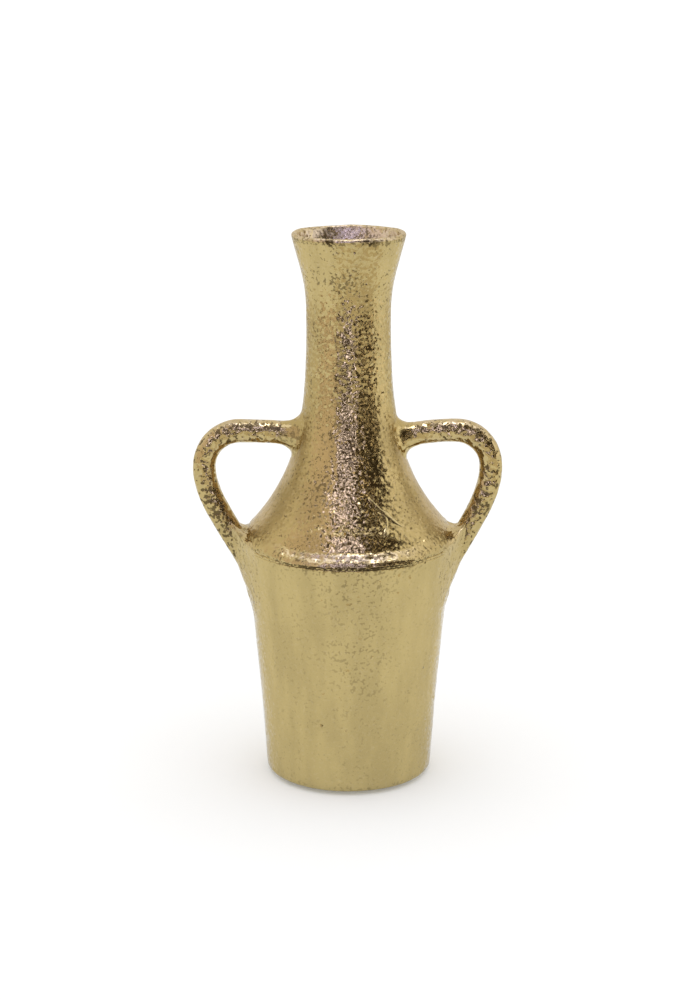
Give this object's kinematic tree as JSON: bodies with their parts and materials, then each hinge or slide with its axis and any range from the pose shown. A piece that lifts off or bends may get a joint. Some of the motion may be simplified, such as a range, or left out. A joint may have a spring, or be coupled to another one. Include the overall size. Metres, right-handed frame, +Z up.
{
  "type": "twin-handled vase",
  "caption": "Tall rough-cast metal vase: tapered body, sloping shoulder, long neck with flared mouth, and bent bar handles from neck to shoulder, in a worn gold finish.",
  "frame": {"origin": "on the vase's axis, in the plane that it rests on", "axes": "+Z up along the vase's axis, +X towards the right-hand handle, -Y towards the viewer of the picture"},
  "size_m": [0.1704, 0.117, 0.305],
  "materials": {
    "gold_casting": "rough sand-cast, antique gold, worn",
    "gold_weld": "ground weld, antique gold, darker in the pits",
    "felt": "pressed felt, matt"
  },
  "bodies": {
    "root": {"body_cup": "gold_casting", "shoulder_neck": "gold_casting", "shoulder_weld": "gold_weld", "left_handle": "gold_casting", "left_neck_weld": "gold_weld", "left_foot_weld": "gold_weld", "right_handle": "gold_casting", "right_neck_weld": "gold_weld", "right_foot_weld": "gold_weld", "felt_pad_front_left": "felt", "felt_pad_front_right": "felt", "felt_pad_rear_left": "felt", "felt_pad_rear_right": "felt"}
  },
  "joints": []
}
